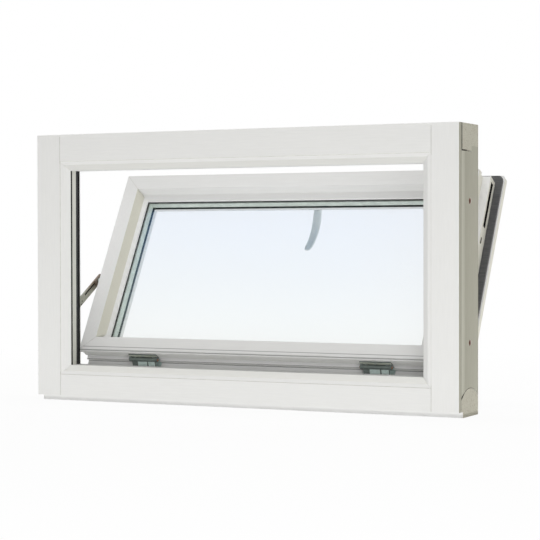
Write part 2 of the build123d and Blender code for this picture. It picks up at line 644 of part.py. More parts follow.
def sash_leaf(middle):
    """Leaf under the sash's neck, with a knuckle at each end and its pin."""
    t, s = SASH_PIN
    with BuildPart() as leaf:
        with BuildSketch(across(middle - HINGE_L / 2)):
            polygon([(RING_T + 0.3, -NECK_IN), (NECK_T - 0.3, -NECK_IN),
                     (NECK_T - 0.3, -NECK_IN - LEAF_T), (RING_T + 0.3, -NECK_IN - LEAF_T)])
            # The leaf runs on into the pocket and down its back
            polygon([(NECK_T - 2, POCKET_TOP), (POCKET_T, POCKET_TOP), (POCKET_T, BODY_LOW + 1),
                     (POCKET_T - 1.2, BODY_LOW + 1), (POCKET_T - 1.2, POCKET_TOP - 1.5),
                     (NECK_T - 2, POCKET_TOP - 1.5)])
        extrude(amount=HINGE_L)
        for start in (-END_KNUCKLE[1], END_KNUCKLE[0]):
            with BuildSketch(across(middle + start)):
                with Locations((t, s)):
                    Circle(KNUCKLE_R)
                polygon([(t - KNUCKLE_R, s), (t - KNUCKLE_R, -NECK_IN - 1),
                         (t, -NECK_IN - 1), (t, s)])
            extrude(amount=END_KNUCKLE[1] - END_KNUCKLE[0])
        with BuildSketch(across(middle - HINGE_L / 2 - PIN_PROUD)):
            with Locations((t, s)):
                Circle(PIN_R)
        extrude(amount=HINGE_L + 2 * PIN_PROUD)
    return leaf


def hinge_link(middle):
    """Link between the two pins, with two windows through its plate."""
    with BuildPart() as link:
        with BuildSketch(link_plane(middle - LINK_HALF)):
            with Locations((LINK_LENGTH, 0)):
                Circle(KNUCKLE_R)
            with Locations((LINK_LENGTH / 2, 0)):
                Rectangle(LINK_LENGTH, LINK_T)
            with Locations((0, 0)):
                Circle(KNUCKLE_R)
            with Locations((0, 0), (LINK_LENGTH, 0)):
                Circle(PIN_R + RUN, mode=Mode.SUBTRACT)
        extrude(amount=2 * LINK_HALF)
        # Room for the frame leaf's middle knuckle
        with BuildSketch(link_plane(middle - MID_KNUCKLE - SIDE_GAP)):
            with Locations((-1, 0)):
                Rectangle(2 * KNUCKLE_R + 3, 2 * KNUCKLE_R + 2)
        extrude(amount=2 * (MID_KNUCKLE + SIDE_GAP), mode=Mode.SUBTRACT)
        for low, high in WINDOWS:
            with BuildSketch(link_plane(middle + low)):
                with Locations((LINK_LENGTH / 2 + 0.4, 0)):
                    Rectangle(LINK_LENGTH - 2 * KNUCKLE_R - 1.6, LINK_T + 2)
            extrude(amount=high - low, mode=Mode.SUBTRACT)
    return link


def frame_leaf(middle):
    """Leaf on the sill, with three knuckles and its pin."""
    y = y_at(FRAME_PIN[0])
    z = FRAME_PIN[1]
    with BuildPart() as leaf:
        with BuildSketch(side(middle - HINGE_L / 2)):
            with Locations((y - 8, SILL_TOP + LEAF_T / 2)):
                Rectangle(30, LEAF_T)
        extrude(amount=HINGE_L)
        spans = ((-END_KNUCKLE[1], -END_KNUCKLE[0]), (-MID_KNUCKLE, MID_KNUCKLE), END_KNUCKLE)
        for low, high in spans:
            with BuildSketch(side(middle + low)):
                with Locations((y, z)):
                    Circle(KNUCKLE_R)
                with Locations((y, (z + SILL_TOP) / 2)):
                    Rectangle(KNUCKLE_R, z - SILL_TOP)
            extrude(amount=high - low)
        with BuildSketch(side(middle - HINGE_L / 2 - PIN_PROUD)):
            with Locations((y, z)):
                Circle(PIN_R)
        extrude(amount=HINGE_L + 2 * PIN_PROUD)
    return leaf


hinges = {}
for side_name, middle in (("left", -HINGE_X), ("right", HINGE_X)):
    hinges["hinge_sash_leaf_" + side_name] = sash_leaf(middle)
    hinges["hinge_link_" + side_name] = hinge_link(middle)
    hinges["hinge_frame_leaf_" + side_name] = frame_leaf(middle)
for name, hinge in hinges.items():
    hinge.part.label = name

# Stays: the arm turns on the frame's plate, the sash's pin slides in its slot
STAY_D, STAY_Z = sash_point(*STAY_SASH_PIN)
STAY_REACH = math.hypot(STAY_D - STAY_FRAME_PIN[0], STAY_Z - STAY_FRAME_PIN[1])
STAY_ANGLE = math.atan2(STAY_Z - STAY_FRAME_PIN[1], STAY_D - STAY_FRAME_PIN[0])
PLATE_X = -HW + JAMB_REAR          # face of the left jamb beside the sash's body
ARM_X = PLATE_X + STAY_GAP
ARM_FACE = ARM_X + STAY_T
TRACK_END = STAY_REACH + TRACK_W / 2


def arm_plane(x):
    """Plane over the arm: local x runs from the frame's pin to the sash's pin."""
    return Plane(origin=(x, y_at(STAY_FRAME_PIN[0]), STAY_FRAME_PIN[1]),
                 x_dir=(0, math.cos(STAY_ANGLE), math.sin(STAY_ANGLE)), z_dir=(1, 0, 0))


with BuildPart() as stay_plate_left:
    with BuildSketch(side(PLATE_X - PLATE_T)):
        with Locations((y_at(STAY_FRAME_PIN[0] - 8), STAY_FRAME_PIN[1])):
            Rectangle(34, 24)
    extrude(amount=PLATE_T)
    with BuildSketch(arm_plane(PLATE_X - 1)):
        Circle(STAY_PIN_R)
    extrude(amount=ARM_FACE - PLATE_X + 1 + 1.5)
stay_plate_left.part.label = "stay_plate_left"

with BuildPart() as stay_arm_left:
    with BuildSketch(arm_plane(ARM_X)):
        with Locations(((STAY_REACH + STAY_TAIL) / 2, -STAY_DROP)):
            SlotCenterToCenter(STAY_REACH + STAY_TAIL, STAY_W)
        Circle(STAY_PIN_R + RUN, mode=Mode.SUBTRACT)
    extrude(amount=STAY_T)
    with BuildSketch(arm_plane(ARM_FACE - TRACK_DEEP)):
        with Locations(((TRACK_START + TRACK_END) / 2, 0)):
            SlotOverall(TRACK_END - TRACK_START, TRACK_W)
    extrude(amount=TRACK_DEEP + 1, mode=Mode.SUBTRACT)
stay_arm_left.part.label = "stay_arm_left"

with BuildPart() as stay_slider_left:
    with BuildSketch(arm_plane(ARM_FACE)):
        with Locations((STAY_REACH, 0)):
            Rectangle(SLIDER_L, 11)
    extrude(amount=SLIDER_T)
    chamfer(stay_slider_left.faces().sort_by(Axis.X)[-1].edges(), 1)
    with BuildSketch(arm_plane(ARM_FACE - 1)):
        with Locations((STAY_REACH, 0)):
            Circle(STAY_PIN_R + RUN)
    extrude(amount=SLIDER_T + 2, mode=Mode.SUBTRACT)
stay_slider_left.part.label = "stay_slider_left"

BRACKET_X = -NECK_W / 2
BRACKET_FACE = BRACKET_X - PLATE_T
with BuildPart() as stay_bracket_left:
    t, s = STAY_SASH_PIN
    with BuildSketch(across(BRACKET_FACE)):
        with Locations(((RING_T + NECK_T) / 2, s)):
            Rectangle(NECK_T - RING_T - 1, 44)
    extrude(amount=PLATE_T)
    # Boss, pin and the pin's thin end in the track
    ends = ((ARM_FACE + SLIDER_T + SIDE_GAP, STAY_PIN_R + 1.5, BRACKET_FACE + 0.4),
            (ARM_FACE + RUN, STAY_PIN_R, BRACKET_FACE + 0.4),
            (ARM_FACE - TRACK_DEEP + RUN, TRACK_W / 2 - RUN, ARM_FACE + 1))
    for start, radius, end in ends:
        with BuildSketch(across(start)):
            with Locations((t, s)):
                Circle(radius)
        extrude(amount=end - start)
stay_bracket_left.part.label = "stay_bracket_left"

stays = {"stay_plate": stay_plate_left, "stay_arm": stay_arm_left,
         "stay_slider": stay_slider_left, "stay_bracket": stay_bracket_left}
right_stays = {}
for name, left in stays.items():
    with BuildPart() as right:
        mirror(left.part, about=Plane.YZ)
    right.part.label = name + "_right"
    right_stays[name] = right

# Handle on the top rail's indoor face
# The lever's outline, in shares of its width and length from the turning axis
LEVER_SHAPE = [(0, 0.09), (0.46, 0.045), (0.63, -0.13), (0.77, -0.38), (0.74, -0.71),
               (0.43, -0.94), (-0.06, -1), (-0.46, -0.94), (-0.31, -0.73), (-0.23, -0.38),
               (-0.46, -0.13), (-0.46, 0.045)]
GRIP_T = SASH_T + HANDLE_OUT - LEVER_T / 2

with BuildPart() as handle_rose:
    with BuildSketch(facing(SASH_T)):
        with Locations((HANDLE_X, HANDLE_S)):
            RectangleRounded(ROSE_W, ROSE_H, 0.3 * ROSE_W)
    extrude(amount=-ROSE_T)
    chamfer(handle_rose.faces().sort_by(Axis(sash_origin(0, 0, 0), T_DIR))[-1].edges(), 2)
handle_rose.part.label = "handle_rose"

with BuildPart() as handle_lever:
    with BuildSketch(facing(SASH_T + ROSE_T)):
        with Locations((HANDLE_X, HANDLE_S)):
            Circle(HANDLE_NECK_R)
    extrude(amount=-(GRIP_T - SASH_T - ROSE_T + 2))
    x = HANDLE_X
    s = HANDLE_S
    with BuildSketch(facing(GRIP_T)):
        with BuildLine():
            Spline(*[(x + w * LEVER_W, s + k * LEVER_L) for w, k in LEVER_SHAPE], periodic=True)
        make_face()
    extrude(amount=-LEVER_T)
    ends = handle_lever.faces().sort_by(Axis(sash_origin(0, 0, 0), T_DIR))
    chamfer(ends[-1].edges(), 2.5)
handle_lever.part.label = "handle_lever"

pieces = [frame_jamb_left, frame_jamb_right, frame_head, frame_sill,
          frame_seal_outer, frame_seal_inner,
          sash_rail_top, sash_rail_bottom, sash_stile_left, sash_stile_right,
          sash_ring_top, sash_ring_bottom, sash_ring_left, sash_ring_right,
          glass_outer, glass_inner, glass_spacer, gasket_outer, gasket_inner,
          bead_top, bead_bottom, bead_left, bead_right, sash_seal,
          handle_rose, handle_lever]
pieces += list(hinges.values()) + list(stays.values()) + list(right_stays.values())
for piece in pieces:
    export_step(piece.part, "parts/" + piece.part.label + ".step")
for name, sleeve in sleeves.items():
    export_step(sleeve, "parts/" + name + ".step")
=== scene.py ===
import math

import bpy
import bmesh
from mathutils import Matrix, Vector


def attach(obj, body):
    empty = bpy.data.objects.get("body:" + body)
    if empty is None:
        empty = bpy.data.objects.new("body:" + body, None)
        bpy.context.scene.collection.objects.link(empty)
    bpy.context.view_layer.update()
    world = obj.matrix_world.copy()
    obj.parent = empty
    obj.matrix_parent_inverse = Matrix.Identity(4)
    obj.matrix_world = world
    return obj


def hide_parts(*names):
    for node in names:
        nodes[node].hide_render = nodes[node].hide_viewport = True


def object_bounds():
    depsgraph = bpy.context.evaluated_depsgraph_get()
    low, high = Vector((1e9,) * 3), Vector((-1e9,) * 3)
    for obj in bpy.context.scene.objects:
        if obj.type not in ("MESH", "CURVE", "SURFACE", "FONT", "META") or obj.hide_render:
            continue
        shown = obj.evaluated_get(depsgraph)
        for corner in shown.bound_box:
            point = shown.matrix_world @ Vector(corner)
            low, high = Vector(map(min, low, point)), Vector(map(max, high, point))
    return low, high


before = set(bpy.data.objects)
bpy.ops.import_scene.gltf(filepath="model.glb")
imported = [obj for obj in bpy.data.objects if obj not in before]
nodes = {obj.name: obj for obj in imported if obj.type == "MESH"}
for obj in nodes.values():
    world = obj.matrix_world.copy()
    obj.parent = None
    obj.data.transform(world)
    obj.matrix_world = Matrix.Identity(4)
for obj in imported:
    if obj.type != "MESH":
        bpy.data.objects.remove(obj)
cad_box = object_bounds()
scene = bpy.context.scene

X_DIR = Vector((1, 0, 0))
SIDES = (("left", -1), ("right", 1))

# The frame, in metres unless said otherwise
SIDE_X = cad_box[1][0]
FRONT_Y = -0.055         # outdoor face
BACK_Y = 0.055           # indoor face
REVEAL_X = 0.4115        # the jambs' faces towards the opening
FRAME_HEIGHT = 580       # mm
HALF_WIDTH = 490         # mm

# The sash's own axes: t goes inwards through it, s up along it.
# Its zero is the outdoor lower edge of the ring, in metres.
OPEN = math.radians(28.8)
T_DIR = Vector((0, math.cos(OPEN), -math.sin(OPEN)))
S_DIR = Vector((0, math.sin(OPEN), math.cos(OPEN)))
SASH_ZERO = Vector((0, 0.018723, 0.110123))


def on_sash(x, t, s):
    """Place of a point of the sash, from millimetres."""
    return SASH_ZERO + Vector((x / 1000, 0, 0)) + T_DIR * (t / 1000) + S_DIR * (s / 1000)


def sash_t(point):
    """How far in through the sash a point lies, in millimetres."""
    return (point - SASH_ZERO).dot(T_DIR) * 1000


def sash_s(point):
    """How far up the sash a point lies, in millimetres."""
    return (point - SASH_ZERO).dot(S_DIR) * 1000


def on_frame(x, depth, z):
    """Place of a point of the frame, from millimetres: depth is counted from the outdoor face."""
    return Vector((x / 1000, depth / 1000 + FRONT_Y, z / 1000))


def depth_in(point):
    """Distance in from the frame's outdoor face, in metres."""
    return point.y - FRONT_Y


def times(colour, factor):
    """A darker or lighter tone of a colour."""
    return tuple(min(1, c * factor) for c in colour)


class Nodes:
    """Small helper for writing the nodes of a material or of the world in few lines."""

    def __init__(self, name, world=False):
        self.owner = (bpy.data.worlds if world else bpy.data.materials).new(name)
        self.owner.use_nodes = True
        self.tree = self.owner.node_tree
        self.tree.nodes.clear()
        self.out = self.add("ShaderNodeOutputWorld" if world else "ShaderNodeOutputMaterial")

    def add(self, kind, **values):
        node = self.tree.nodes.new(kind)
        for key, value in values.items():
            setattr(node, key, value)
        return node

    def link(self, output, socket):
        self.tree.links.new(output, socket)

    def feed(self, socket, value):
        """Sets a number or a colour on a socket, or links an output to it."""
        if isinstance(value, (int, float)):
            socket.default_value = value
        elif isinstance(value, tuple):
            socket.default_value = (*value, 1)
        else:
            self.link(value, socket)

    def coords(self, scale=(1, 1, 1)):
        """Object coordinates, which are the row frame's own metres."""
        tex = self.add("ShaderNodeTexCoord")
        mapping = self.add("ShaderNodeMapping")
        mapping.inputs["Scale"].default_value = scale
        self.link(tex.outputs["Object"], mapping.inputs["Vector"])
        return mapping.outputs["Vector"]

    def noise(self, vector, scale, detail, rough):
        node = self.add("ShaderNodeTexNoise")
        node.inputs["Scale"].default_value = scale
        node.inputs["Detail"].default_value = detail
        node.inputs["Roughness"].default_value = rough
        self.link(vector, node.inputs["Vector"])
        return node.outputs["Fac"]

    def axes(self):
        """The object coordinates one by one, as outputs X, Y and Z, in metres."""
        split = self.add("ShaderNodeSeparateXYZ")
        self.link(self.coords(), split.inputs["Vector"])
        return split.outputs

    def on_sash_axis(self, direction):
        """Distance along one of the sash's axes from its zero, in metres."""
        dot = self.add("ShaderNodeVectorMath", operation="DOT_PRODUCT")
        dot.inputs[1].default_value = direction
        self.link(self.coords(), dot.inputs[0])
        return self.maths("SUBTRACT", dot.outputs["Value"], SASH_ZERO.dot(direction))

    def ramp(self, fac, stops):
        """Colours along a value; each stop gives its place and its colour."""
        node = self.add("ShaderNodeValToRGB")
        node.color_ramp.elements.remove(node.color_ramp.elements[1])
        for i, (place, colour) in enumerate(stops):
            if i == 0:
                element = node.color_ramp.elements[0]
                element.position = place
            else:
                element = node.color_ramp.elements.new(place)
            element.color = (*colour, 1)
        self.link(fac, node.inputs["Fac"])
        return node.outputs["Color"]

    def map(self, value, low, high, to_low, to_high):
        """Turns the range low to high into to_low to to_high, and holds the ends."""
        node = self.add("ShaderNodeMapRange")
        node.inputs["From Min"].default_value = low
        node.inputs["From Max"].default_value = high
        node.inputs["To Min"].default_value = to_low
        node.inputs["To Max"].default_value = to_high
        self.link(value, node.inputs["Value"])
        return node.outputs["Result"]

    def mix(self, fac, a, b):
        """Colour a where fac is 0 and colour b where it is 1."""
        node = self.add("ShaderNodeMix", data_type="RGBA")
        # Sockets 6 and 7 and output 2 are the ones of the colour mix
        for value, socket in ((fac, node.inputs[0]), (a, node.inputs[6]), (b, node.inputs[7])):
            self.feed(socket, value)
        return node.outputs[2]

    def maths(self, operation, a, b=0.0):
        node = self.add("ShaderNodeMath", operation=operation)
        self.feed(node.inputs[0], a)
        self.feed(node.inputs[1], b)
        return node.outputs[0]

    def edge_wear(self, size, sharp=0.35):
        """0 on flats, near 1 along edges."""
        bevel = self.add("ShaderNodeBevel", samples=6)
        bevel.inputs["Radius"].default_value = size
        geometry = self.add("ShaderNodeNewGeometry")
        dot = self.add("ShaderNodeVectorMath", operation="DOT_PRODUCT")
        self.link(bevel.outputs["Normal"], dot.inputs[0])
        self.link(geometry.outputs["True Normal"], dot.inputs[1])
        return self.map(dot.outputs["Value"], 1.0, 1.0 - sharp, 0.0, 1.0)

    def bump(self, height, strength, distance):
        node = self.add("ShaderNodeBump")
        node.inputs["Strength"].default_value = strength
        node.inputs["Distance"].default_value = distance
        self.link(height, node.inputs["Height"])
        return node.outputs["Normal"]

    def principled(self, colour, roughness, normal=None, **sockets):
        """Puts out a Principled shader. Its other sockets are given by name, with _ for a space."""
        shader = self.add("ShaderNodeBsdfPrincipled")
        self.feed(shader.inputs["Base Color"], colour)
        self.feed(shader.inputs["Roughness"], roughness)
        for name, value in sockets.items():
            shader.inputs[name.replace("_", " ")].default_value = value
        if normal is not None:
            self.link(normal, shader.inputs["Normal"])
        self.link(shader.outputs["BSDF"], self.out.inputs["Surface"])

    def seen(self):
        """1 for what is looked at, also in a reflection or through the glass, and 0 for the light."""
        path = self.add("ShaderNodeLightPath")
        direct = self.maths("MAXIMUM", path.outputs["Is Camera Ray"], path.outputs["Is Glossy Ray"])
        return self.maths("MAXIMUM", direct, path.outputs["Is Transmission Ray"])

    def blend(self, fac, first, second):
        """Puts out a blend of two shaders."""
        node = self.add("ShaderNodeMixShader")
        self.link(fac, node.inputs["Fac"])
        self.link(first.outputs[0], node.inputs[1])
        self.link(second.outputs[0], node.inputs[2])
        self.link(node.outputs["Shader"], self.out.inputs["Surface"])


def painted_timber(name, along, base=(0.812, 0.812, 0.812), lines=()):
    """Factory paint over pine: a faint grain along one direction, rubbed a little at the edges.

    Each of the lines is a fine groove along X, pressed in by the bump and painted darker as painted
    shade: its place up the sash and its half width, in millimetres.
    """
    m = Nodes(name)
    grain_at = m.coords(scale=(1, 14, 14) if along == "x" else (14, 14, 1))
    grain = m.noise(grain_at, 22.0, 4.0, 0.55)
    fine = m.noise(m.coords(), 900.0, 2.0, 0.6)
    cloud = m.noise(m.coords(), 6.0, 2.0, 0.5)
    colour = m.ramp(grain, [(0.3, times(base, 0.963)), (0.7, base)])
    colour = m.mix(m.map(cloud, 0.3, 0.7, 0.0, 0.3), colour, times(base, 0.978))
    colour = m.mix(m.maths("MULTIPLY", m.edge_wear(0.0012), 0.35), colour, times(base, 1.035))
    height = m.maths("ADD", m.maths("MULTIPLY", grain, 0.6), m.maths("MULTIPLY", fine, 0.5))
    for place, half in lines:
        away = m.maths("ABSOLUTE", m.maths("SUBTRACT", m.on_sash_axis(S_DIR), place / 1000))
        # Full over two thirds of the half width, and gone a quarter past it
        groove_shade = m.map(away, half / 1500, half / 800, 1.0, 0.0)
        # Painted shade in the groove: darker where it runs
        colour = m.mix(groove_shade, colour, times(base, 0.42))
        height = m.maths("SUBTRACT", height, groove_shade)
    rough = m.map(fine, 0.3, 0.7, 0.42, 0.55)
    m.principled(colour, rough, m.bump(height, 0.12, 0.0004), Coat_Weight=0.06, Coat_Roughness=0.35)
    return m.owner


# Tone bands of the planed outer sides, from the outdoor to the indoor face: the skin is darker, the
# groove's slope paler as painted light, with fine dark lines between as painted shade
SIDE_BANDS = ((0.0, 0.62), (0.025, 0.30), (0.11, 0.36), (0.13, 0.12), (0.15, 0.75), (0.21, 0.84),
              (0.30, 0.56), (0.32, 0.36), (0.55, 0.46), (0.93, 0.55), (1.0, 0.30))


def primed_side(name):
    """Thin olive primer on the outer sides that the wall covers, with the planed grain under it."""
    m = Nodes(name)
    grain = m.noise(m.coords(scale=(20, 20, 1)), 26.0, 5.0, 0.6)
    fine = m.noise(m.coords(), 700.0, 3.0, 0.65)
    cloud = m.noise(m.coords(scale=(1, 1, 0.4)), 9.0, 2.0, 0.5)
    colour = m.ramp(grain, [(0.28, (0.375, 0.368, 0.305)), (0.72, (0.455, 0.448, 0.382))])
    colour = m.mix(m.map(cloud, 0.3, 0.7, 0.0, 0.4), colour, (0.425, 0.412, 0.345))
    depth = m.map(m.axes()["Y"], FRONT_Y, BACK_Y, 0.0, 1.0)
    bands = m.ramp(depth, [(place, (tone, tone, tone)) for place, tone in SIDE_BANDS])
    # Darker in the skin's band and, as painted shade, in the fine lines between the bands
    colour = m.mix(m.map(bands, 0.0, 0.5, 1.0, 0.0), colour, (0.30, 0.29, 0.235))
    # Paler, as painted light, where the groove's slope runs
    colour = m.mix(m.map(bands, 0.5, 1.0, 0.0, 1.0), colour, (0.56, 0.555, 0.49))
    colour = m.mix(m.maths("MULTIPLY", m.edge_wear(0.0015), 0.4), colour, (0.56, 0.55, 0.48))
    height = m.maths("ADD", m.maths("MULTIPLY", grain, 0.8), m.maths("MULTIPLY", fine, 0.5))
    m.principled(colour, m.map(fine, 0.3, 0.7, 0.62, 0.8), m.bump(height, 0.3, 0.0005))
    return m.owner


# Where the painted shade of the head's open joint runs: along its outdoor edge and its lower edge
OPEN_JOINT_Y = -0.0384
OPEN_JOINT_Z = 0.5268


def end_grain_paint(name):
    """Primer soaked into cut ends: growth rings, open pores, brown specks, and painted shade in the
    head's open joint.
    """
    m = Nodes(name)
    rings = m.add("ShaderNodeTexWave", wave_type="RINGS", rings_direction="X")
    rings.inputs["Scale"].default_value = 90.0
    rings.inputs["Distortion"].default_value = 9.0
    rings.inputs["Detail"].default_value = 4.0
    m.link(m.coords(), rings.inputs["Vector"])
    pores = m.noise(m.coords(), 270.0, 4.0, 0.75)
    patch = m.noise(m.coords(), 48.0, 3.0, 0.6)
    colour = m.ramp(rings.outputs["Fac"], [(0.1, (0.52, 0.508, 0.435)), (0.9, (0.555, 0.54, 0.468))])
    specks = m.ramp(pores, [(0.35, (1, 1, 1)), (0.43, (0, 0, 0))])
    colour = m.mix(m.maths("MULTIPLY", specks, 0.8), colour, (0.26, 0.19, 0.135))
    colour = m.mix(m.map(patch, 0.35, 0.7, 0.0, 0.35), colour, (0.475, 0.45, 0.375))
    # Painted shade of the open joint, broken by filler here and there
    axes = m.axes()
    depth, high = axes["Y"], axes["Z"]
    off_upright = m.maths("ABSOLUTE", m.maths("SUBTRACT", depth, OPEN_JOINT_Y))
    upright = m.map(off_upright, 0.0018, 0.0026, 1.0, 0.0)
    upright = m.maths("MULTIPLY", upright, m.map(high, 0.524, 0.527, 0.0, 1.0))
    off_level = m.maths("ABSOLUTE", m.maths("SUBTRACT", high, OPEN_JOINT_Z))
    level = m.map(off_level, 0.0006, 0.0013, 1.0, 0.0)
    level = m.maths("MULTIPLY", level, m.map(depth, -0.015, -0.005, 1.0, 0.0))
    unfilled = m.map(patch, 0.36, 0.46, 0.25, 1.0)
    joint_shade = m.maths("MULTIPLY", m.maths("MAXIMUM", upright, level), unfilled)
    colour = m.mix(joint_shade, colour, (0.035, 0.03, 0.022))
    height = m.maths("ADD", m.maths("MULTIPLY", pores, 0.8), m.maths("MULTIPLY", patch, 0.4))
    m.principled(colour, m.map(pores, 0.3, 0.7, 0.9, 0.65), m.bump(height, 0.5, 0.0008))
    return m.owner


def rubber(name, colour, sheen):
    """Extruded rubber, drawn out along its run."""
    m = Nodes(name)
    fine = m.noise(m.coords(), 1400.0, 2.0, 0.6)
    streak = m.noise(m.coords(scale=(1, 12, 12)), 40.0, 2.0, 0.5)
    light = tuple(min(1, c * 1.6 + 0.01) for c in colour)
    shade = m.ramp(streak, [(0.3, colour), (0.75, light)])
    m.principled(shade, m.map(fine, 0.3, 0.7, 0.45, 0.7), m.bump(fine, 0.25, 0.0003),
                 Sheen_Weight=sheen, Specular_IOR_Level=0.2)
    return m.owner


# Heights between which the stays' arms turn from bright to brown, in metres
STAY_TURNS_BROWN = (0.232, 0.252)


def zinc(name, colour, metallic=1.0, rough=(0.28, 0.48), upper=None, shaded_from=None):
    """Plated steel: brushed, spangled, brighter along its edges.

    upper is the tone above STAY_TURNS_BROWN. shaded_from is how far in through the sash the painted
    shade of the knuckle begins, in millimetres.
    """
    m = Nodes(name)
    spangle = m.add("ShaderNodeTexVoronoi")
    spangle.inputs["Scale"].default_value = 260.0
    m.link(m.coords(), spangle.inputs["Vector"])
    brushed = m.noise(m.coords(scale=(1, 30, 30)), 60.0, 3.0, 0.6)
    stain = m.noise(m.coords(), 150.0, 3.0, 0.6)
    shade = m.ramp(brushed, [(0.3, times(colour, 0.72)), (0.7, colour)])
    shade = m.mix(m.map(stain, 0.45, 0.7, 0.0, 0.5), shade, times(colour, 0.6))
    if upper is not None:
        shade = m.mix(m.map(m.axes()["Z"], *STAY_TURNS_BROWN, 0.0, 1.0), shade, upper)
    shade = m.mix(m.maths("MULTIPLY", m.edge_wear(0.0006), 0.5), shade, times(colour, 1.35))
    # Painted shade past shaded_from, where the knuckle shades the leaf
    if shaded_from is not None:
        edge = shaded_from / 1000
        knuckle_shade = m.map(m.on_sash_axis(T_DIR), edge - 0.0004, edge + 0.0004, 0.0, 1.0)
        shade = m.mix(knuckle_shade, shade, (0.018, 0.018, 0.016))
    roughness = m.map(spangle.outputs["Distance"], 0.0, 0.6, rough[0], rough[1])
    m.principled(shade, roughness, m.bump(brushed, 0.15, 0.0002), Metallic=metallic)
    return m.owner


def plastic(name, colour, rough, gloss=0.5):
    """Moulded plastic, slightly uneven."""
    m = Nodes(name)
    fine = m.noise(m.coords(), 1100.0, 2.0, 0.6)
    cloud = m.noise(m.coords(), 60.0, 2.0, 0.5)
    shade = m.ramp(cloud, [(0.3, times(colour, 0.8)), (0.7, colour)])
    m.principled(shade, m.map(fine, 0.3, 0.7, rough - 0.08, rough + 0.1), m.bump(fine, 0.2, 0.0002),
                 Specular_IOR_Level=gloss)
    return m.owner


# Heights over which the panes turn bluer, as a painted reflection, and those where the dark strip along
# their top sets in, in metres
REFLECTION_HEIGHTS = (0.14, 0.44)
TOP_STRIP_HEIGHTS = (0.414, 0.421)


def clear_glass(name):
    """Coated clear pane: nearly clear, a little bluer towards its upper edge as a painted reflection, and
    dark along its top.
    """
    m = Nodes(name)
    wave = m.noise(m.coords(), 3.0, 1.0, 0.4)
    wavy = m.maths("ADD", m.axes()["Z"], m.map(wave, 0.3, 0.7, -0.01, 0.01))
    # Painted reflection: bluer higher up the pane
    colour = m.mix(m.map(wavy, *REFLECTION_HEIGHTS, 0.0, 1.0), (0.66, 0.84, 0.84), (0.05, 0.42, 0.98))
    colour = m.mix(m.map(m.axes()["Z"], *TOP_STRIP_HEIGHTS, 0.0, 1.0), colour, (0.06, 0.11, 0.10))
    m.principled(colour, m.map(wave, 0.3, 0.7, 0.02, 0.04), m.bump(wave, 0.02, 0.002), Alpha=0.05)
    return m.owner


def glass_rim(name):
    """Green cut edge of a pane."""
    m = Nodes(name)
    streak = m.noise(m.coords(scale=(1, 1, 20)), 80.0, 3.0, 0.6)
    colour = m.ramp(streak, [(0.3, (0.16, 0.27, 0.24)), (0.7, (0.30, 0.42, 0.38))])
    m.principled(colour, m.map(streak, 0.3, 0.7, 0.15, 0.4))
    return m.owner


PAINT_X = painted_timber("paint_along_x", "x")
PAINT_Z = painted_timber("paint_along_z", "z")
# Darker and creamier than the paint's own tone, as painted shade on the ring's splays
PAINT_SPLAY = painted_timber("paint_ring_splay", "z", (0.60, 0.592, 0.52))
# A little darker and creamier, as painted shade on the sash's outer sides
PAINT_SIDE_SHADE = painted_timber("paint_sash_side", "z", (0.80, 0.792, 0.715))
# Darker and creamier, as painted shade on the jambs' reveals
PAINT_REVEAL = painted_timber("paint_reveal", "z", (0.70, 0.70, 0.64))
# Darker than the paint's own tone, as painted shade on the head's bevel
PAINT_BEVEL = painted_timber("paint_head_bevel", "x", (0.68, 0.68, 0.665))
# Lighter than the paint's own tone, as painted light on the undersides of the ring and rail and on the
# sill's bevel
PAINT_LIGHTENED = painted_timber("paint_painted_light", "x", (0.92, 0.92, 0.90))
# The ring's and the rail's lower faces carry painted shade lines along their grooves and steps
PAINT_RING_LOW = painted_timber("paint_ring_low", "x", lines=((6.2, 0.8), (-1.2, 0.9)))
PAINT_RAIL_LOW = painted_timber("paint_rail_low", "x", lines=((-7.6, 0.9),))
PRIMER = primed_side("primer_side")
END_GRAIN = end_grain_paint("paint_end_grain")
# Painted shade for the moulding's step, the joints' fine grooves and the ring's mitres
JOINT = plastic("paint_joint_line", (0.70, 0.695, 0.66), 0.7, 0.2)
BLACK_RUBBER = rubber("rubber_black", (0.012, 0.012, 0.012), 0.04)
REVEAL_RUBBER = rubber("rubber_reveal", (0.02, 0.02, 0.021), 0.05)
GREY_RUBBER = rubber("rubber_grey", (0.058, 0.059, 0.061), 0.3)
HINGE_METAL = zinc("hinge_zinc", (0.20, 0.235, 0.22), 0.3, (0.35, 0.55))
# The leaf's zinc is lighter than its own tone, as painted light for the shade under the sash, and dark
# past 25 mm in, as painted shade of the knuckle
LEAF_METAL = zinc("leaf_zinc", (0.80, 0.84, 0.72), 0.1, (0.45, 0.65), shaded_from=25.0)
# Pale blue zinc, lighter than its own tone as painted light for its parts in the hinge's shade
PALE_ZINC = zinc("pale_zinc", (0.70, 0.83, 0.80), 0.12, (0.35, 0.55))
STAY_METAL = zinc("stay_zinc", (0.54, 0.54, 0.47), 0.35, (0.35, 0.55), (0.30, 0.24, 0.19))
SCREW_METAL = zinc("screw_zinc", (0.66, 0.70, 0.68), 0.5, (0.25, 0.42))
PIN_METAL = zinc("pin_copper_tone", (0.42, 0.20, 0.13), 0.3)
HANDLE_METAL = zinc("handle_lacquer", (0.88, 0.89, 0.83), 0.2, (0.28, 0.4))
# Darker lacquer, as painted shade on the grip's side that looks to +X
HANDLE_SHADED_SIDE = zinc("handle_lacquer_painted_shade", (0.60, 0.63, 0.60), 0.25, (0.28, 0.4))
SPACER = plastic("spacer_warm_edge", (0.66, 0.74, 0.69), 0.45)
SLEEVE = plastic("sleeve_plastic", (0.22, 0.11, 0.08), 0.5)
SLIDER = plastic("slider_plastic", (0.17, 0.13, 0.10), 0.45)
